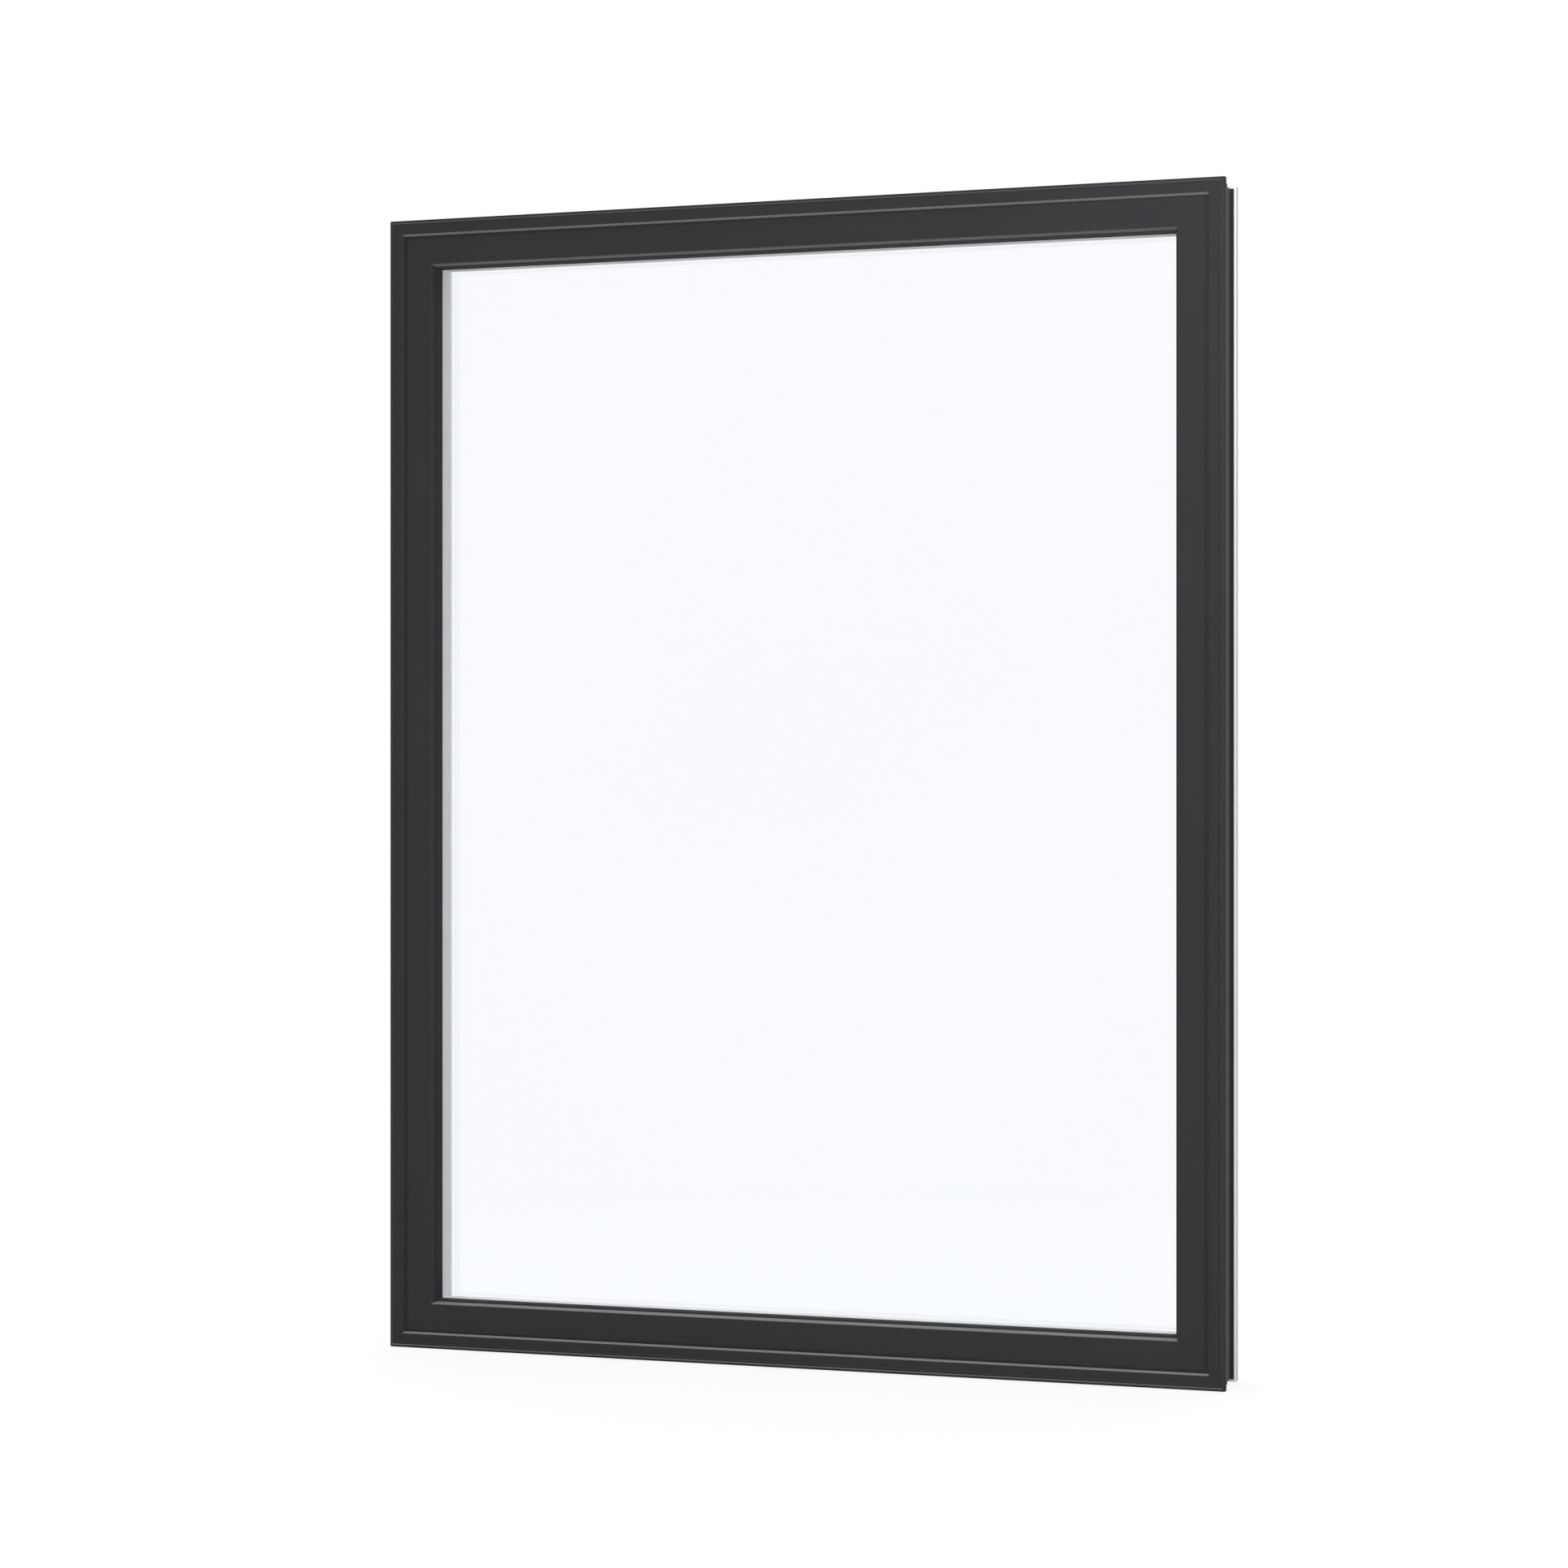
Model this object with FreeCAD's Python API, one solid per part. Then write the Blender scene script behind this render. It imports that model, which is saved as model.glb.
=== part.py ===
"""Fixed picture window: frame, fixed sash set in from outside, sealed double pane and white inner lining.

Millimetres. +Z is up and the outside of the building is towards -Y. The origin is on the sill's flat
underside, at the middle of its length and of the pad that stands on the packers.
Every long piece is drawn as a section of inset (in from the frame's outer edge) and depth (in from
the frame's outside face), then run along its side and mitred at both ends.
"""
import FreeCAD, Part
import math
import os

# Overall size over the rim
OVERALL_WIDTH = 914.0
OVERALL_HEIGHT = 1219.0
CORNER_RADIUS = 1.5

# Frame rim, a small moulding: quirk, fillet, splay and outer lip
RIM_QUIRK = 1.4
RIM_QUIRK_ROUND = 0.6
RIM_FILLET = 2.0
RIM_FILLET_ROUND = 0.6
RIM_SPLAY = 2.3
RIM_LIP = 1.9
RIM_LIP_SETBACK = 5.4
RIM_LIP_ROUND = 0.5
RIM_EDGE = 5.1
RIM_BACK_ROUND = 1.0

# Frame face, throat and the ledge that the sash stands against
FACE_WIDTH = 10.0
EDGE_ROUND = 1.9
LEDGE_WIDTH = 8.7
THROAT_DRAFT = 1.3

# Frame outer side: fin slot behind the rim, flat pad, body, back groove and stepped back ridge
PAD_INSET = 3.4
SLOT_WIDTH = 3.2
SLOT_FLOOR = 2.4
PAD_WIDTH = 18.3
BODY_SETBACK = 1.6
BODY_WIDTH = 22.5
BACK_GROOVE_FLOOR = 2.6
BACK_GROOVE_WIDTH = 8.1
RIDGE_INSET = 3.0
RIDGE_WIDTH = 1.7
RIDGE_STEP_INSET = 4.8
RIDGE_STEP_WIDTH = 1.6

# Sash: flange over the ledge, face, glazing lip and web round the glass
REVEAL = 4.3
SASH_SETBACK = 3.4
SASH_FLANGE = 1.6
SASH_EDGE_ROUND = 0.8
SASH_FACE_WIDTH = 28.5
SASH_CLEARANCE = 0.6
LIP_DRAFT = 0.9
LIP_DRAFT_DEPTH = 11.6
WEB_THICKNESS = 12.4

# Glazing bead on the outside, with a tongue in the sash's lip
BEAD_SETBACK = 10.8
BEAD_GAP = 0.6
BEAD_WALL = 1.7
BEAD_DEPTH = 12.3
BEAD_ROUND = 0.8
TONGUE_LENGTH = 3.4
TONGUE_THICKNESS = 2.2
TONGUE_OFFSET = 4.6
TONGUE_CLEARANCE = 0.2

# Sealed double pane and the blocks it stands on
GASKET_THICKNESS = 1.0
GASKET_SETBACK = 0.4
PANE_THICKNESS = 4.0
SPACER_DEPTH = 12.0
SPACER_WIDTH = 6.5
SPACER_SETBACK = 0.2
SPACER_ROUND = 1.0
EDGE_CLEARANCE = 3.0
BLOCK_LENGTH = 100.0
BLOCK_FROM_CORNER = 228.0

# White inner stop that holds the glass in the sash
STOP_SETBACK = 1.8
STOP_DEPTH = 13.0
STOP_DRAFT = 0.6
STOP_ROUND = 1.6
GROOVE_WIDTH = 1.6
GROOVE_DEPTH = 1.0
GROOVE_PLACE = 11.0

# White lining round the back of the frame
LINING_DEPTH = 8.8
LINING_INSET = 0.2
LINING_WALL = 3.2
LINING_ROUND = 2.0
LINING_FRONT_ROUND = 1.4

# Insets worked out from the sizes above, from the outer edge inwards
RIM_FILLET_EDGE = RIM_LIP + RIM_SPLAY
RIM_WIDTH = RIM_FILLET_EDGE + RIM_FILLET
THROAT = RIM_WIDTH + FACE_WIDTH
FRAME_INNER = THROAT + THROAT_DRAFT + LEDGE_WIDTH
BODY_INSET = PAD_INSET + BODY_SETBACK
SASH_EDGE = THROAT + REVEAL
SASH_SIDE = FRAME_INNER + SASH_CLEARANCE
LIP_EDGE = SASH_EDGE + SASH_FACE_WIDTH
LIP_FOOT = LIP_EDGE + LIP_DRAFT
WEB_INNER = SASH_SIDE + WEB_THICKNESS
BEAD_OUTER = LIP_FOOT + BEAD_GAP
SIGHT_LINE = BEAD_OUTER + BEAD_WALL
TONGUE_TIP = LIP_FOOT - TONGUE_LENGTH
PANE_EDGE = WEB_INNER + EDGE_CLEARANCE
SPACER_INNER = SIGHT_LINE - SPACER_SETBACK
STOP_EDGE = SIGHT_LINE - STOP_SETBACK
LINING_INNER = FRAME_INNER + LINING_WALL

# Depths worked out from the sizes above, from the outside face inwards
RIM_BACK = RIM_LIP_SETBACK + RIM_EDGE
PAD_START = RIM_BACK + SLOT_WIDTH
PAD_END = PAD_START + PAD_WIDTH
PAD_MIDDLE = (PAD_START + PAD_END) / 2
BODY_END = PAD_END + BODY_WIDTH
BACK_GROOVE_END = BODY_END + BACK_GROOVE_WIDTH
RIDGE_FRONT = BACK_GROOVE_END + RIDGE_STEP_WIDTH
FRAME_BACK = RIDGE_FRONT + RIDGE_WIDTH
LEDGE_DEPTH = SASH_SETBACK + SASH_FLANGE
BEAD_FRONT = SASH_SETBACK + BEAD_SETBACK
BEAD_BACK = BEAD_FRONT + BEAD_DEPTH
TONGUE_FRONT = BEAD_FRONT + TONGUE_OFFSET
TONGUE_BACK = TONGUE_FRONT + TONGUE_THICKNESS
GLASS_FRONT = BEAD_BACK + GASKET_THICKNESS
SPACER_FRONT = GLASS_FRONT + PANE_THICKNESS
SPACER_BACK = SPACER_FRONT + SPACER_DEPTH
GLASS_BACK = SPACER_BACK + PANE_THICKNESS
STOP_FRONT = GLASS_BACK + GASKET_THICKNESS
STOP_BACK = STOP_FRONT + STOP_DEPTH
LINING_BACK = FRAME_BACK + LINING_DEPTH

# Sides in the order met by quarter turns about Y, beginning at the sill
SIDES = ("bottom", "left", "top", "right")
RIGHT_ANGLE_DEGREES = 90
FRAME_NAMES = {"bottom": "sill", "top": "head", "left": "left_jamb", "right": "right_jamb"}
SASH_NAMES = {"bottom": "bottom_rail", "top": "top_rail", "left": "left_stile", "right": "right_stile"}


def section_face(corners):
    """Face in the plane X = 0 from (inset, depth, radius) corners; a radius rounds its corner."""
    points = [FreeCAD.Vector(0, depth, inset) for inset, depth, _ in corners]
    edges = []
    starts = []
    ends = []
    for index, (_, _, radius) in enumerate(corners):
        here = points[index]
        towards_last = (points[index - 1] - here).normalize()
        towards_next = (points[(index + 1) % len(points)] - here).normalize()
        if radius == 0:
            starts.append(here)
            ends.append(here)
            continue
        half_angle = towards_last.getAngle(towards_next) / 2
        run = radius / math.tan(half_angle)
        bisector = (towards_last + towards_next).normalize()
        middle = here + bisector * (radius / math.sin(half_angle) - radius)
        starts.append(here + towards_last * run)
        ends.append(here + towards_next * run)
        edges.append(Part.Arc(starts[-1], middle, ends[-1]).toShape())
    for index, end in enumerate(ends):
        edges.append(Part.LineSegment(end, starts[(index + 1) % len(points)]).toShape())
    return Part.Face(Part.Wire(Part.__sortEdges__(edges)))


def run_length(side):
    """Length of one side of the window, over the rim."""
    return OVERALL_HEIGHT if side in ("left", "right") else OVERALL_WIDTH


def mitre_prism(length, width, depth):
    """Trapezium with 45 degree ends, long side at inset 0, standing through the whole depth."""
    half = length / 2
    corners = [(-half, 0), (half, 0), (half - width, width), (width - half, width)]
    points = [FreeCAD.Vector(x, 0, inset) for x, inset in corners]
    face = Part.Face(Part.makePolygon(points + points[:1]))
    return face.extrude(FreeCAD.Vector(0, depth, 0))


def put_on_side(shape, side):
    """Turn a piece drawn on the sill onto its side of the window and move it to the part's origin."""
    across = OVERALL_WIDTH if side in ("left", "right") else OVERALL_HEIGHT
    turn = SIDES.index(side) * RIGHT_ANGLE_DEGREES
    shape.translate(FreeCAD.Vector(0, -PAD_MIDDLE, -across / 2))
    shape.rotate(FreeCAD.Vector(0, 0, 0), FreeCAD.Vector(0, 1, 0), turn)
    shape.translate(FreeCAD.Vector(0, 0, OVERALL_HEIGHT / 2 - PAD_INSET))
    return shape


def mitred_bar(corners, side):
    """A section run along one side of the window, mitred at both ends."""
    length = run_length(side)
    bar = section_face(corners).extrude(FreeCAD.Vector(length, 0, 0))
    bar.translate(FreeCAD.Vector(-length / 2, 0, 0))
    width = max(inset for inset, _, _ in corners)
    depth = max(depth for _, depth, _ in corners)
    return put_on_side(bar.common(mitre_prism(length, width, depth)), side)


def rounded_block(inset):
    """Block inside the given inset of the outer edge, with the window's rounded outer corners."""
    width = OVERALL_WIDTH - 2 * inset
    height = OVERALL_HEIGHT - 2 * inset
    start = FreeCAD.Vector(-width / 2, -PAD_MIDDLE, inset - PAD_INSET)
    block = Part.makeBox(width, LINING_BACK, height, start)
    depth_edges = [edge for edge in block.Edges if edge.BoundBox.YLength > edge.Length / 2]
    return block.makeFillet(CORNER_RADIUS, depth_edges)


def frame_section():
    slot_floor = PAD_INSET + SLOT_FLOOR
    groove_floor = BODY_INSET + BACK_GROOVE_FLOOR
    return [
        (THROAT, 0, EDGE_ROUND),
        (RIM_WIDTH, 0, RIM_QUIRK_ROUND),
        (RIM_WIDTH, RIM_QUIRK, 0),
        (RIM_FILLET_EDGE, RIM_QUIRK, RIM_FILLET_ROUND),
        (RIM_LIP, RIM_LIP_SETBACK, 0),
        (0, RIM_LIP_SETBACK, RIM_LIP_ROUND),
        (0, RIM_BACK, RIM_BACK_ROUND),
        (slot_floor, RIM_BACK, 0),
        (slot_floor, PAD_START, 0),
        (PAD_INSET, PAD_START, 0),
        (PAD_INSET, PAD_END, 0),
        (BODY_INSET, PAD_END, 0),
        (BODY_INSET, BODY_END, 0),
        (groove_floor, BODY_END, 0),
        (groove_floor, BACK_GROOVE_END, 0),
        (RIDGE_STEP_INSET, BACK_GROOVE_END, 0),
        (RIDGE_STEP_INSET, RIDGE_FRONT, 0),
        (RIDGE_INSET, RIDGE_FRONT, 0),
        (RIDGE_INSET, FRAME_BACK, 0),
        (FRAME_INNER, FRAME_BACK, 0),
        (FRAME_INNER, LEDGE_DEPTH, 0),
        (THROAT + THROAT_DRAFT, LEDGE_DEPTH, 0),
    ]


def sash_section():
    kerf_floor = TONGUE_TIP - TONGUE_CLEARANCE
    kerf_back = TONGUE_BACK + TONGUE_CLEARANCE
    return [
        (SASH_EDGE, SASH_SETBACK, SASH_EDGE_ROUND),
        (SASH_EDGE, LEDGE_DEPTH, 0),
        (SASH_SIDE, LEDGE_DEPTH, 0),
        (SASH_SIDE, STOP_FRONT, 0),
        (WEB_INNER, STOP_FRONT, 0),
        (WEB_INNER, BEAD_BACK, 0),
        (LIP_FOOT, BEAD_BACK, 0),
        (LIP_FOOT, kerf_back, 0),
        (kerf_floor, kerf_back, 0),
        (kerf_floor, TONGUE_FRONT, 0),
        (LIP_FOOT, TONGUE_FRONT, 0),
        (LIP_FOOT, SASH_SETBACK + LIP_DRAFT_DEPTH, 0),
        (LIP_EDGE, SASH_SETBACK, EDGE_ROUND),
    ]


def bead_section():
    return [
        (BEAD_OUTER, BEAD_FRONT, 0),
        (BEAD_OUTER, TONGUE_FRONT, 0),
        (TONGUE_TIP, TONGUE_FRONT, 0),
        (TONGUE_TIP, TONGUE_BACK, 0),
        (BEAD_OUTER, TONGUE_BACK, 0),
        (BEAD_OUTER, BEAD_BACK, 0),
        (SIGHT_LINE, BEAD_BACK, 0),
        (SIGHT_LINE, BEAD_FRONT, BEAD_ROUND),
    ]


def gasket_section(inner, front):
    back = front + GASKET_THICKNESS
    return [(PANE_EDGE, front, 0), (PANE_EDGE, back, 0), (inner, back, 0), (inner, front, 0)]


def spacer_section():
    outer = SPACER_INNER - SPACER_WIDTH
    return [
        (outer, SPACER_FRONT, SPACER_ROUND),
        (outer, SPACER_BACK, SPACER_ROUND),
        (SPACER_INNER, SPACER_BACK, 0),
        (SPACER_INNER, SPACER_FRONT, 0),
    ]


def stop_section():
    groove_middle = SASH_SIDE + GROOVE_PLACE
    return [
        (SASH_SIDE, STOP_FRONT, 0),
        (STOP_EDGE, STOP_FRONT, 0),
        (STOP_EDGE - STOP_DRAFT, STOP_BACK, STOP_ROUND),
        (groove_middle + GROOVE_WIDTH / 2, STOP_BACK, 0),
        (groove_middle, STOP_BACK - GROOVE_DEPTH, 0),
        (groove_middle - GROOVE_WIDTH / 2, STOP_BACK, 0),
        (SASH_SIDE, STOP_BACK, 0),
    ]


def lining_section():
    return [
        (LINING_INSET, FRAME_BACK, LINING_FRONT_ROUND),
        (FRAME_INNER, FRAME_BACK, 0),
        (FRAME_INNER, STOP_BACK, 0),
        (LINING_INNER, STOP_BACK, 0),
        (LINING_INNER, LINING_BACK, LINING_ROUND),
        (LINING_INSET, LINING_BACK, LINING_ROUND),
    ]


def pane(front):
    width = OVERALL_WIDTH - 2 * PANE_EDGE
    height = OVERALL_HEIGHT - 2 * PANE_EDGE
    start = FreeCAD.Vector(-width / 2, front - PAD_MIDDLE, PANE_EDGE - PAD_INSET)
    return Part.makeBox(width, PANE_THICKNESS, height, start)


def setting_block(middle):
    depth = GLASS_BACK - GLASS_FRONT
    start = FreeCAD.Vector(middle - BLOCK_LENGTH / 2, GLASS_FRONT - PAD_MIDDLE, WEB_INNER - PAD_INSET)
    return Part.makeBox(BLOCK_LENGTH, depth, EDGE_CLEARANCE, start)


def window_parts():
    parts = {}
    rim_block = rounded_block(0)
    lining_block = rounded_block(LINING_INSET)
    outer_gasket = gasket_section(SIGHT_LINE - GASKET_SETBACK, BEAD_BACK)
    inner_gasket = gasket_section(STOP_EDGE - GASKET_SETBACK, GLASS_BACK)
    for side in SIDES:
        parts["frame_" + FRAME_NAMES[side]] = mitred_bar(frame_section(), side).common(rim_block)
        parts["sash_" + SASH_NAMES[side]] = mitred_bar(sash_section(), side)
        parts["glazing_bead_" + side] = mitred_bar(bead_section(), side)
        parts["outer_gasket_" + side] = mitred_bar(outer_gasket, side)
        parts["spacer_bar_" + side] = mitred_bar(spacer_section(), side)
        parts["inner_gasket_" + side] = mitred_bar(inner_gasket, side)
        parts["inner_stop_" + side] = mitred_bar(stop_section(), side)
        parts["lining_" + FRAME_NAMES[side]] = mitred_bar(lining_section(), side).common(lining_block)
    parts["outer_pane"] = pane(GLASS_FRONT)
    parts["inner_pane"] = pane(SPACER_BACK)
    block_middle = OVERALL_WIDTH / 2 - BLOCK_FROM_CORNER
    parts["setting_block_left"] = setting_block(-block_middle)
    parts["setting_block_right"] = setting_block(block_middle)
    return parts


os.makedirs("parts", exist_ok=True)
for name, shape in window_parts().items():
    shape.Solids[0].exportStep("parts/" + name + ".step")
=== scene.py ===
# %% [markdown]
# A fixed picture window, dark outside and white inside
#
# The window is an assembly of long mitred bars round a sealed double pane. Its construction, with every
# section at its real size, comes in as a fixed frame. This lesson gives each piece its finish, then sets
# up a plain white studio and a camera that stands where the photographer stood.

# %% Load the frame
import math
import bpy
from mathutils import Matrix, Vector


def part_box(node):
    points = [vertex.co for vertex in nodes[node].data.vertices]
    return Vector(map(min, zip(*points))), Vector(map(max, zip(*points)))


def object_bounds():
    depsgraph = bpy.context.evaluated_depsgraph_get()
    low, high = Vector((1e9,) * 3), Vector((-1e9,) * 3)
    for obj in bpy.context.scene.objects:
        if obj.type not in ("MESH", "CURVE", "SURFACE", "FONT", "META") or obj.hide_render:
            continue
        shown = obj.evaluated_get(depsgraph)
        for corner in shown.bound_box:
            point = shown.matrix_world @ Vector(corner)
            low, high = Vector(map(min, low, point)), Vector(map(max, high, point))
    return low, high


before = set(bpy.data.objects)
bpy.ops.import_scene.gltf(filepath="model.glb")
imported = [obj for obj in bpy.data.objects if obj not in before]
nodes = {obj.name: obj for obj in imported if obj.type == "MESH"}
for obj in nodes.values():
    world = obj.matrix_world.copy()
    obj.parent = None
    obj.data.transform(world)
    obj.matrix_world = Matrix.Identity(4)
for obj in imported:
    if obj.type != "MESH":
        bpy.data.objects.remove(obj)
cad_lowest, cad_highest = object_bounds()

bpy.ops.object.select_all(action="DESELECT")
print(len(nodes), "pieces, from", tuple(cad_lowest), "to", tuple(cad_highest))

# %% [markdown]
# The camera
#
# The photo was taken level with the middle of the window, from its right, so upright edges stay upright
# and the left side looks smaller than the right one. A camera could be aimed with a Track To constraint,
# but a plain place, one turn about the vertical and a lens length say the same thing in four numbers.

# %% Camera
VIEW_TURN = math.radians(17.97)
CAMERA_DISTANCE = 3.4313
CAMERA_ASIDE = 1.1062
IMAGE_WIDTH_PIXELS = 1932
FOCAL_LENGTH_PIXELS = 4264.8

window_middle = (cad_lowest + cad_highest) / 2
outside_face = cad_lowest.y
camera_data = bpy.data.cameras.new("studio_camera")
camera_data.lens = FOCAL_LENGTH_PIXELS / IMAGE_WIDTH_PIXELS * camera_data.sensor_width
camera = bpy.data.objects.new("studio_camera", camera_data)
camera.location = (window_middle.x + CAMERA_ASIDE, outside_face - CAMERA_DISTANCE, window_middle.z)
camera.rotation_euler = (math.radians(90), 0, VIEW_TURN)
bpy.context.scene.collection.objects.link(camera)
bpy.context.scene.camera = camera
print("camera at", tuple(camera.location), "with a lens of", round(camera_data.lens, 1), "mm")

# %% [markdown]
# Shader arithmetic
#
# A finish is a small sum: so much noise, times a strength, added to a mean. Written out as nodes that
# takes a screenful of links, so this class wraps one socket and lets plain Python operators add the Math
# nodes. Every other kind of node comes from its `node` method, which sets the node's choices first and
# its sockets after.

# %% Signal class
class Signal:
    """One socket of a finish. Arithmetic on it adds Math nodes, and node() adds any other kind."""

    def __init__(self, socket):
        self.socket = socket

    def node(self, kind, settings, inputs, output=0):
        """A new node in the same finish; inputs are values or signals, by socket name or number."""
        tree = self.socket.id_data
        made = tree.nodes.new("ShaderNode" + kind)
        for name, value in settings.items():
            setattr(made, name, value)
        for name, value in inputs.items():
            connect(value, made.inputs[name])
        return Signal(made.outputs[output])

    def maths(self, operation, first, second):
        return self.node("Math", {"operation": operation}, {0: first, 1: second})

    def __add__(self, other):
        return self.maths("ADD", self, other)

    def __radd__(self, other):
        return self.maths("ADD", other, self)

    def __sub__(self, other):
        return self.maths("SUBTRACT", self, other)

    def __rsub__(self, other):
        return self.maths("SUBTRACT", other, self)

    def __mul__(self, other):
        return self.maths("MULTIPLY", self, other)

    def __rmul__(self, other):
        return self.maths("MULTIPLY", other, self)


def connect(value, socket):
    """Link a signal to a socket, or set a plain value on it."""
    if isinstance(value, Signal):
        socket.id_data.links.new(value.socket, socket)
    else:
        socket.default_value = value


print("signals ready")

# %% [markdown]
# What every finish shares
#
# Coated metal, plastic and rubber all differ in the same few ways: broad clouds of colour, fine streaks
# that run the way the bar came out of its die, and a skin that is never quite flat. These helpers make
# such patterns from Object coordinates, which are metres here, so a scale of 1000 gives detail of one
# millimetre. A Bevel node rounds the sharp corners for the light alone, as a coating does on a real edge.

# %% Shared patterns
ALONG_X, ALONG_Z = 0, 2
STREAK_STRETCH = 0.004
BEVEL_SAMPLES = 4
MIX_FACTOR, MIX_FIRST, MIX_SECOND, MIX_RESULT = 0, 6, 7, 2


def new_finish(name):
    """A material with one Principled shader; returns it, the shader and the Object coordinates."""
    material = bpy.data.materials.new(name)
    material.use_nodes = True
    shader = material.node_tree.nodes["Principled BSDF"]
    place = Signal(shader.outputs["BSDF"]).node("TexCoord", {}, {}, output="Object")
    return material, shader, place


def noise(place, scale, detail=2.0):
    """Soft noise around 0, from about -0.5 to 0.5."""
    sockets = {"Vector": place, "Scale": scale, "Detail": detail}
    return place.node("TexNoise", {}, sockets) - 0.5


def streaks(place, scale, along):
    """Noise drawn out along one axis, as lines left by a die."""
    stretch = [1.0, 1.0, 1.0]
    stretch[along] = STREAK_STRETCH
    drawn = place.node("VectorMath", {"operation": "MULTIPLY"}, {0: place, 1: stretch})
    return noise(drawn, scale)


def grey(level):
    return (level, level, level, 1)


def mix_colour(factor, first, second):
    """A colour between two, by a factor from 0 to 1."""
    settings = {"data_type": "RGBA", "clamp_factor": True}
    sockets = {MIX_FACTOR: factor, MIX_FIRST: first, MIX_SECOND: second}
    return factor.node("Mix", settings, sockets, output=MIX_RESULT)


def soft_edges(place, radius):
    """Normals that are rounded at corners, and a mask that is 1 on those corners."""
    rounded = place.node("Bevel", {"samples": BEVEL_SAMPLES}, {"Radius": radius})
    plain = place.node("NewGeometry", {}, {}, output="Normal")
    sockets = {0: rounded, 1: plain}
    agree = place.node("VectorMath", {"operation": "DOT_PRODUCT"}, sockets, output="Value")
    return rounded, 1 - agree


def relief(height, depth, normal):
    """Bump of a real depth in metres on top of the given normals."""
    sockets = {"Height": height, "Distance": depth, "Strength": 1.0, "Normal": normal}
    return height.node("Bump", {}, sockets)


print("patterns ready")

# %% [markdown]
# Where a face looks
#
# Some finishes change from face to face: on ledges that look up or down, and on the outer sides that the
# wall hides. Such faces could be picked by hand into slots of their own, but the normal and the place of
# each point tell them apart on every bar at once, and still do when the window is made in another size.

# %% Faces and outer sides
ACROSS = {ALONG_X: "Z", ALONG_Z: "X"}
WALL_MARGIN = 0.010
WALL_DEPTH = 0.010


def facing(place, along):
    """How far a face looks across the bar: 1 to the right or up, -1 to the left or down."""
    normal = place.node("NewGeometry", {}, {}, output="True Normal")
    return normal.node("SeparateXYZ", {}, {"Vector": normal}, output=ACROSS[along])


def outer_side(place, along, from_depth, margin=WALL_MARGIN):
    """1 in the outermost strip of the window beyond a depth, where the wall would hide it."""
    number = "XYZ".index(ACROSS[along])
    middle = window_middle[number]
    reach = cad_highest[number] - middle - margin
    side = place.node("SeparateXYZ", {}, {"Vector": place}, output=ACROSS[along]) - middle
    depth = place.node("SeparateXYZ", {}, {"Vector": place}, output="Y") - outside_face
    behind = depth.maths("GREATER_THAN", depth, from_depth)
    return behind * side.maths("GREATER_THAN", side.maths("ABSOLUTE", side, 0.0), reach)


print("outer strip", WALL_MARGIN, "m wide, from", WALL_DEPTH, "m behind the outside face")

# %% [markdown]
# Painted light on the ledges
#
# In the photo the ledges of the level bars are pale grey, paler than plain light makes them on so dark a
# coating. Stronger lamps from above would bleach the front faces as well. So a pale grey is painted in
# where
# a face looks up or down: painted reflection, as a satin coating shows at flat angles, and painted light in
# the recesses that the lamps reach poorly. It fades out over the rounded edges. The rim's top, and all that
# the wall hides, stay plain.

# %% Ledge painted light
LEDGE_START = 0.45
LEDGE_FULL_UP = 0.90
LEDGE_FULL_DOWN = 0.86


def fade_in(signal, start, full, most):
    """0 up to the start, then rising softly to the most."""
    sockets = {"Value": signal, "From Min": start, "From Max": full, "To Max": most}
    return signal.node("MapRange", {"interpolation_type": "SMOOTHSTEP"}, sockets)


def ledge_painted_light(place, along, first, second):
    """Painted light on faces that look up or right, and on those that look down or left."""
    across = facing(place, along)
    up = fade_in(across, LEDGE_START, LEDGE_FULL_UP, first)
    down = fade_in(-1.0 * across, LEDGE_START, LEDGE_FULL_DOWN, second)
    rim_depth = 0.0 if along == ALONG_X else WALL_DEPTH
    up = up * (1 - outer_side(place, along, rim_depth))
    return up + down * (1 - outer_side(place, along, WALL_DEPTH))


print("bloom begins where a face looks", LEDGE_START, "up or down")

# %% [markdown]
# Charcoal coating
#
# The outside of frame and sash is metal with a baked charcoal coating. It is almost black from the front,
# with a fine orange peel, a little cloudiness, and corners that are rubbed slightly paler. Level bars get
# the painted light on their ledges and a sheen layer, which brightens them at flat angles, and upright bars
# get a mere trace of both. The flat outer sides look duller in the photo, so their roughness is higher.

# %% Charcoal coating
COATING_EDGE = 0.0005
COATING_DARK = (0.0264, 0.0276, 0.0297, 1)
COATING_PALE = (0.0336, 0.0345, 0.0369, 1)
COATING_CLOUDS = 9.0
COATING_LINES = 700.0
PEEL_SCALE = 1500.0
PEEL_DEPTH = 0.000006
PAINTED_LIGHT_COLOUR = grey(0.5)
SIDE_MARGIN = 0.0055
SIDE_DULLNESS = 0.12


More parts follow.
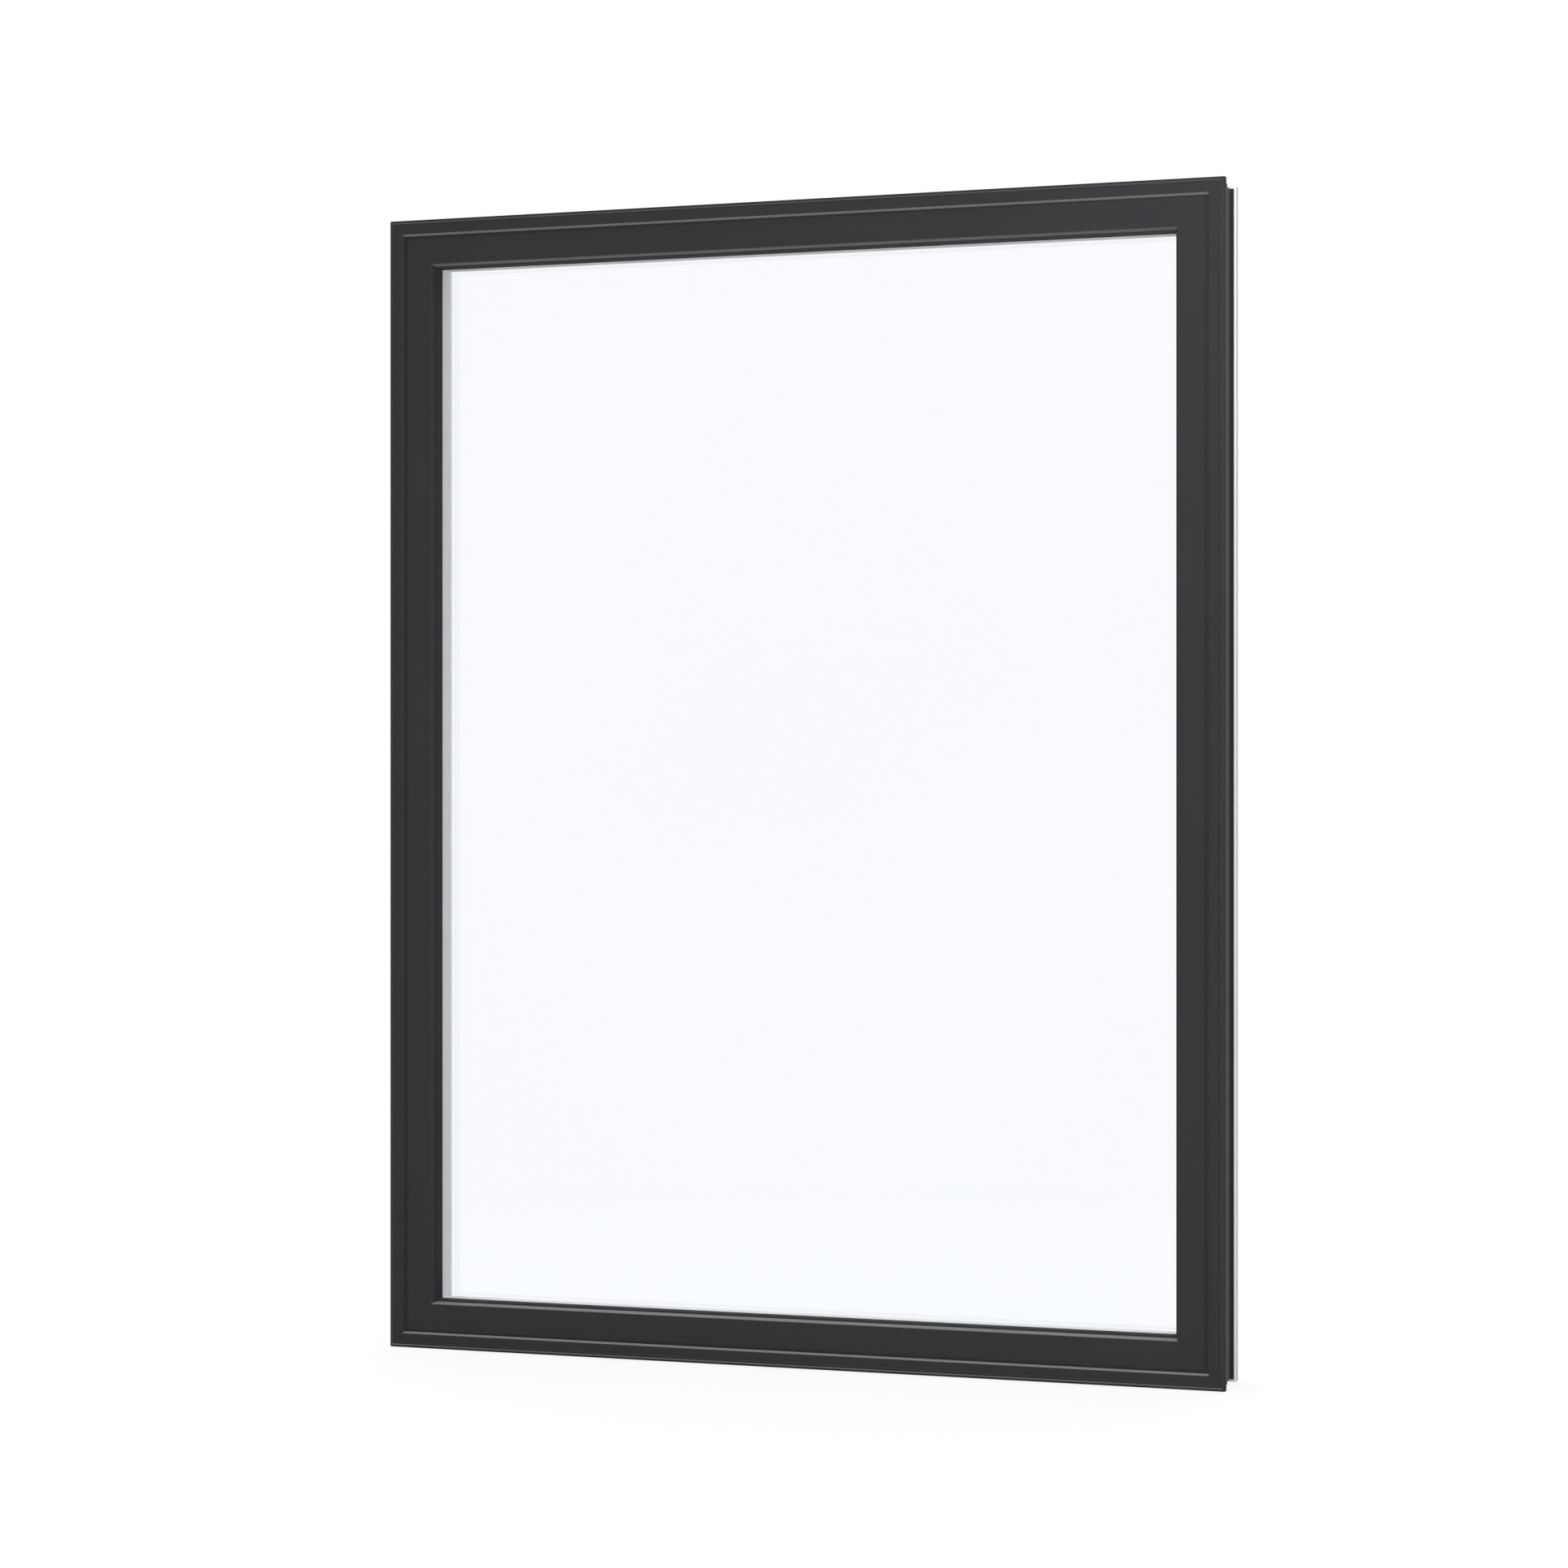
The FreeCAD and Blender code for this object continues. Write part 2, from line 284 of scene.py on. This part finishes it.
def charcoal_coating(name, along, painted_light, sheen):
    material, shader, place = new_finish(name)
    rounded, corner = soft_edges(place, COATING_EDGE)
    clouds = noise(place, COATING_CLOUDS, detail=3.0)
    lines = streaks(place, COATING_LINES, along)
    peel = noise(place, PEEL_SCALE)
    coat = mix_colour(0.5 + clouds * 0.7 + lines * 0.25 + corner * 0.8, COATING_DARK, COATING_PALE)
    # Painted light: a pale grey on the ledges stands in for their grazing reflection and for light the
    # recesses miss.
    painted_light_share = ledge_painted_light(place, along, *painted_light) * (1.0 + lines * 0.5)
    connect(mix_colour(painted_light_share, coat, PAINTED_LIGHT_COLOUR), shader.inputs["Base Color"])
    duller = outer_side(place, along, WALL_DEPTH, SIDE_MARGIN) * SIDE_DULLNESS
    roughness = 0.5 + clouds * 0.08 + lines * 0.06 - corner * 0.1 + duller
    connect(roughness, shader.inputs["Roughness"])
    connect(relief(peel + lines * 0.5, PEEL_DEPTH, rounded), shader.inputs["Normal"])
    shader.inputs["Specular IOR Level"].default_value = 0.03
    shader.inputs["Sheen Weight"].default_value = sheen
    shader.inputs["Sheen Roughness"].default_value = 0.35
    return material


upright_coat = charcoal_coating("charcoal_coating_upright", ALONG_Z, painted_light=(0.03, 0.0), sheen=0.05)
level_frame_coat = charcoal_coating("charcoal_coating_frame", ALONG_X, painted_light=(0.40, 0.25), sheen=0.25)
level_sash_coat = charcoal_coating("charcoal_coating_sash", ALONG_X, painted_light=(0.32, 0.09), sheen=0.25)
frame_coat = {ALONG_X: level_frame_coat, ALONG_Z: upright_coat}
sash_coat = {ALONG_X: level_sash_coat, ALONG_Z: upright_coat}
print("charcoal coating for frame and sash")

# %% [markdown]
# Black beads
#
# The glazing beads are black plastic, duller than the coating, so they stay dark from every side and only
# their front edge catches some light. Fine lines from the die run along them.

# %% Black beads
BEAD_DARK = (0.033, 0.034, 0.036, 1)
BEAD_PALE = (0.044, 0.045, 0.048, 1)
BEAD_CLOUDS = 14.0
BEAD_LINES = 900.0
BEAD_LINE_DEPTH = 0.000008


def bead_plastic(name, along):
    material, shader, place = new_finish(name)
    rounded, corner = soft_edges(place, COATING_EDGE)
    clouds = noise(place, BEAD_CLOUDS, detail=3.0)
    lines = streaks(place, BEAD_LINES, along)
    tone = 0.5 + clouds * 0.7 + lines * 0.4 + corner * 0.6
    connect(mix_colour(tone, BEAD_DARK, BEAD_PALE), shader.inputs["Base Color"])
    connect(0.62 + clouds * 0.1 + lines * 0.1, shader.inputs["Roughness"])
    connect(relief(lines, BEAD_LINE_DEPTH, rounded), shader.inputs["Normal"])
    shader.inputs["Specular IOR Level"].default_value = 0.03
    return material


bead_black = {
    ALONG_X: bead_plastic("bead_plastic_level", ALONG_X),
    ALONG_Z: bead_plastic("bead_plastic_upright", ALONG_Z),
}
print("bead plastic ready")

# %% [markdown]
# White plastic inside
#
# The lining and the stops are extruded plastic, white and satin. Real white plastic is a little warm and
# never even: faint lines run along the bar, and the gloss changes from place to place by a few hundredths.
# The lining's outer side, which the wall hides, is greyer in the photo, so a grey is mixed in there as
# painted shade.

# %% White plastic
PLASTIC_EDGE = 0.0004
PLASTIC_DARK = (0.80, 0.80, 0.795, 1)
PLASTIC_PALE = (0.845, 0.847, 0.85, 1)
PLASTIC_CLOUDS = 7.0
PLASTIC_LINES = 500.0
PLASTIC_GRAIN = 900.0
PLASTIC_RELIEF = 0.000006
PAINTED_SIDE_SHADE = (0.58, 0.58, 0.585, 1)
SIDEWAYS_START, SIDEWAYS_FULL = 0.3, 0.95


def white_plastic(name, along):
    material, shader, place = new_finish(name)
    rounded, corner = soft_edges(place, PLASTIC_EDGE)
    clouds = noise(place, PLASTIC_CLOUDS, detail=3.0)
    lines = streaks(place, PLASTIC_LINES, along)
    grain = noise(place, PLASTIC_GRAIN)
    skin = mix_colour(0.5 + clouds * 0.8 + lines * 0.3 + corner * 0.5, PLASTIC_DARK, PLASTIC_PALE)
    # Painted shade: a grey on the outer faces that look sideways, darker because of how light falls.
    sideways = place.maths("ABSOLUTE", facing(place, along), 0.0)
    side_range = {"Value": sideways, "From Min": SIDEWAYS_START, "From Max": SIDEWAYS_FULL}
    painted_side_shade = place.node("MapRange", {}, side_range) * outer_side(place, along, WALL_DEPTH)
    connect(mix_colour(painted_side_shade, skin, PAINTED_SIDE_SHADE), shader.inputs["Base Color"])
    connect(0.44 + clouds * 0.1 + lines * 0.08, shader.inputs["Roughness"])
    connect(relief(grain * 0.5 + lines, PLASTIC_RELIEF, rounded), shader.inputs["Normal"])
    shader.inputs["Specular IOR Level"].default_value = 0.04
    return material


inside_white = {
    ALONG_X: white_plastic("white_plastic_level", ALONG_X),
    ALONG_Z: white_plastic("white_plastic_upright", ALONG_Z),
}
print("white plastic ready")

# %% [markdown]
# Rubber gaskets and blocks
#
# Thin black gaskets lie between the glass and the pieces that hold it, and two firmer blocks carry its
# weight. Rubber is dull and slightly dusty, so its roughness is high and its colour has small grey specks.

# %% Rubber
RUBBER_CLOUDS = 20.0
SPECK_DEPTH = 0.00002


def rubber(name, shade, speck_scale):
    material, shader, place = new_finish(name)
    specks = noise(place, speck_scale, detail=4.0)
    clouds = noise(place, RUBBER_CLOUDS)
    tone = 0.4 + specks * 0.8 + clouds * 0.6
    connect(mix_colour(tone, grey(shade * 0.7), grey(shade * 1.6)), shader.inputs["Base Color"])
    connect(0.72 + clouds * 0.15, shader.inputs["Roughness"])
    plain = place.node("NewGeometry", {}, {}, output="Normal")
    connect(relief(specks, SPECK_DEPTH, plain), shader.inputs["Normal"])
    shader.inputs["Specular IOR Level"].default_value = 0.3
    return material


gasket_rubber = rubber("gasket_rubber", shade=0.012, speck_scale=2500.0)
block_rubber = rubber("setting_block_rubber", shade=0.03, speck_scale=1200.0)
print("rubber ready")

# %% [markdown]
# Spacer bars
#
# The bars that keep the two panes apart are pale and matt, and have fine cross ribs, because that lets them
# bend without kinking. The ribs are a wave along the bar, one every two millimetres, too fine to model. The
# level bars look a little paler than the upright ones in the photo, so they get a higher shade: painted
# light.

# %% Spacer finish
RIBS_PER_METRE = 500.0
RIB_DEPTH = 0.00005
WAVE_RADIANS_PER_SCALE = 20
SPACER_CLOUDS = 15.0
SPACER_VARIATION = 0.08


def cool_white(level):
    return (level, level + 0.005, level + 0.01, 1)


def spacer_finish(name, along, shade):
    material, shader, place = new_finish(name)
    rounded, _ = soft_edges(place, PLASTIC_EDGE)
    wave_settings = {"wave_type": "BANDS", "bands_direction": "XYZ"[along]}
    wave_scale = RIBS_PER_METRE * math.tau / WAVE_RADIANS_PER_SCALE
    ribs = place.node("TexWave", wave_settings, {"Vector": place, "Scale": wave_scale}, output="Fac")
    clouds = noise(place, SPACER_CLOUDS)
    tone = 0.5 + clouds * 0.6 + (ribs - 0.5) * 0.3
    colour = mix_colour(tone, cool_white(shade), cool_white(shade + SPACER_VARIATION))
    connect(colour, shader.inputs["Base Color"])
    connect(0.55 + clouds * 0.1, shader.inputs["Roughness"])
    connect(relief(ribs, RIB_DEPTH, rounded), shader.inputs["Normal"])
    return material


# The level spacer's higher shade is painted light, a paler copy of the same grey.
spacer_grey = {
    ALONG_X: spacer_finish("spacer_level", ALONG_X, shade=0.89),
    ALONG_Z: spacer_finish("spacer_upright", ALONG_Z, shade=0.80),
}
print("spacer finish ready")

# %% [markdown]
# Clear glass
#
# Each pane is clear float glass with a very slight cool tint. Light from lamps should pass straight through
# to the spacer and the stops, but glass in this renderer throws a full shadow. So for shadow rays alone the
# glass shader gives way to a transparent one of the same tint.

# %% Glass
GLASS_TINT = (0.966, 0.976, 0.990, 1)
GLASS_PALER = (0.973, 0.981, 0.993, 1)
FILM_SCALE = 2.2


def mix_shaders(material, factor, first, second):
    """Give a material its first shader where the factor is 0 and its second where it is 1."""
    mixed = factor.node("MixShader", {}, {0: factor, 1: first, 2: second})
    connect(mixed, material.node_tree.nodes["Material Output"].inputs["Surface"])


def clear_glass(name):
    material, shader, place = new_finish(name)
    film = noise(place, FILM_SCALE)
    connect(mix_colour(0.4 + film, GLASS_TINT, GLASS_PALER), shader.inputs["Base Color"])
    shader.inputs["Transmission Weight"].default_value = 1.0
    shader.inputs["Roughness"].default_value = 0.0
    shader.inputs["IOR"].default_value = 1.5
    shadow_ray = place.node("LightPath", {}, {}, output="Is Shadow Ray")
    passing = place.node("BsdfTransparent", {}, {"Color": GLASS_TINT})
    mix_shaders(material, shadow_ray, Signal(shader.outputs["BSDF"]), passing)
    return material


pane_glass = clear_glass("clear_glass")
print("glass ready")

# %% [markdown]
# Dressing the pieces
#
# The bars keep their own shapes, so each only gets a finish in its material slot. The names say which piece
# is which, and a bar's box says whether it runs level or upright, which sets the way its streaks run.

# %% Give every piece its finish
FINISHES = {
    "frame_": frame_coat,
    "sash_": sash_coat,
    "glazing_bead_": bead_black,
    "outer_gasket_": gasket_rubber,
    "inner_gasket_": gasket_rubber,
    "spacer_bar_": spacer_grey,
    "inner_stop_": inside_white,
    "lining_": inside_white,
    "outer_pane": pane_glass,
    "inner_pane": pane_glass,
    "setting_block_": block_rubber,
}


def bar_direction(name):
    lowest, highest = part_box(name)
    return ALONG_X if highest.x - lowest.x > highest.z - lowest.z else ALONG_Z


for name, piece in nodes.items():
    finish = next(value for start, value in FINISHES.items() if name.startswith(start))
    if isinstance(finish, dict):
        finish = finish[bar_direction(name)]
    piece.data.materials.clear()
    piece.data.materials.append(finish)
print("dressed", len(nodes), "pieces")

# %% [markdown]
# White background
#
# The photo's background is pure white, but a world that lit the window with all that white would wash it
# out. So the world is white only for the rays that show it, and a soft grey for the rays that light the
# window. The Light Path node tells the two apart.

# %% World
WORLD_LEVEL = 0.15


def seen_ray(signal):
    """1 for rays that show the background: from the camera, off a gloss or through glass."""
    camera_ray = signal.node("LightPath", {}, {}, output="Is Camera Ray")
    path = camera_ray.socket.node.outputs
    gloss_or_glass = Signal(path["Is Glossy Ray"]) + Signal(path["Is Transmission Ray"])
    either = camera_ray + gloss_or_glass
    return either.maths("MINIMUM", either, 1.0)


world = bpy.data.worlds.new("white_studio")
bpy.context.scene.world = world
world.use_nodes = True
background = world.node_tree.nodes["Background"]
background.inputs["Color"].default_value = grey(1.0)
world_seen = seen_ray(Signal(background.inputs["Color"]))
connect(WORLD_LEVEL + world_seen * (1 - WORLD_LEVEL), background.inputs["Strength"])
print("world lights at", WORLD_LEVEL, "and shows as white")

# %% [markdown]
# Studio floor
#
# The photo has a plain white ground. The floor here is white paint that glows just enough to read as white,
# and near the window part of it is plain diffuse paint, which keeps a soft shadow where the sill stands.

# %% Floor
FLOOR_SIZE = 40.0
FLOOR_WHITE = 0.92
FLOOR_VARIATION = 0.01
FLOOR_CLOUDS = 3.0
FLOOR_BOUNCE = 0.8
SHADOW_REACH = 1.6
SHADOW_SHARE = 0.2

bpy.ops.mesh.primitive_plane_add(size=FLOOR_SIZE, location=(0, 0, cad_lowest.z))
floor = bpy.context.object
floor.name = "studio_floor"
bpy.ops.object.transform_apply(location=True)

floor_paint, floor_shader, floor_place = new_finish("floor_paint")
floor_shader.inputs["Roughness"].default_value = 1.0
floor_shader.inputs["Specular IOR Level"].default_value = 0.0
floor_seen = seen_ray(floor_place)
floor_dark = grey(FLOOR_WHITE * (1 - FLOOR_VARIATION))
floor_pale = grey(FLOOR_WHITE * (1 + FLOOR_VARIATION))
paint = mix_colour(0.5 + noise(floor_place, FLOOR_CLOUDS), floor_dark, floor_pale)
connect(mix_colour(floor_seen, grey(FLOOR_BOUNCE), paint), floor_shader.inputs["Base Color"])

away = floor_place.node("VectorMath", {"operation": "LENGTH"}, {0: floor_place}, output="Value")
shadow_share = SHADOW_SHARE - fade_in(away, 0.0, SHADOW_REACH, SHADOW_SHARE)
glow = floor_place.node("Emission", {}, {"Color": grey(1.0), "Strength": 1.0})
glow_share = floor_seen * (1 - shadow_share)
mix_shaders(floor_paint, glow_share, Signal(floor_shader.outputs["BSDF"]), glow)
floor.data.materials.append(floor_paint)
print("floor at height", cad_lowest.z)

# %% [markdown]
# Lamps
#
# A softbox stands low in front of the window, a little to its right, so it reaches into the ledges that the
# camera sees. A small one near the upper right corner makes that corner lighter than the far side, as in
# the photo. Two broad suns fill in from above and from behind. Each lamp's level says how bright it alone
# makes a white surface that faces it, which is easier to balance than watts.

# %% Lamps
KEY_SIZE = 0.8
KEY_PLACE = Vector((0.75, -2.2, 0.45))
KEY_LEVEL = 0.46
CORNER_SIZE = 0.3
CORNER_PLACE = Vector((0.6, -0.55, 1.3))
CORNER_LEVEL = 0.45
TOP_FILL_TOWARDS = (0.1, 0.15, -1.0)
TOP_FILL_LEVEL = 0.75
BACK_FILL_TOWARDS = (0.15, -0.75, -0.6)
BACK_FILL_LEVEL = 0.45
SUN_PLACE = (0, 0, 3)
SUN_BREADTH = math.radians(70)


def hang_lamp(name, data, towards, place):
    """A lamp that shines along a direction and isn't seen itself, nor in a gloss or through glass."""
    lamp = bpy.data.objects.new(name, data)
    lamp.location = place
    lamp.rotation_euler = Vector(towards).to_track_quat("-Z", "Y").to_euler()
    lamp.visible_camera = False
    lamp.visible_glossy = False
    lamp.visible_transmission = False
    bpy.context.scene.collection.objects.link(lamp)


def broad_sun(name, towards, level):
    """A broad sun; level 1 alone lights a facing white as white."""
    data = bpy.data.lights.new(name, "SUN")
    data.energy = level * math.pi
    data.angle = SUN_BREADTH
    hang_lamp(name, data, towards, SUN_PLACE)


def softbox(name, size, place, target, level):
    """A square softbox; level 1 alone lights a facing white at the target as white."""
    data = bpy.data.lights.new(name, "AREA")
    data.size = size
    towards = target - place
    data.energy = level * (math.pi * towards.length) ** 2
    hang_lamp(name, data, towards, place)


softbox("key_softbox", KEY_SIZE, KEY_PLACE, window_middle, KEY_LEVEL)
softbox("corner_softbox", CORNER_SIZE, CORNER_PLACE, cad_highest, CORNER_LEVEL)
broad_sun("top_fill", TOP_FILL_TOWARDS, TOP_FILL_LEVEL)
broad_sun("back_fill", BACK_FILL_TOWARDS, BACK_FILL_LEVEL)
bpy.context.scene.view_settings.view_transform = "Standard"
print("lit by", len(bpy.data.lights), "soft lamps")
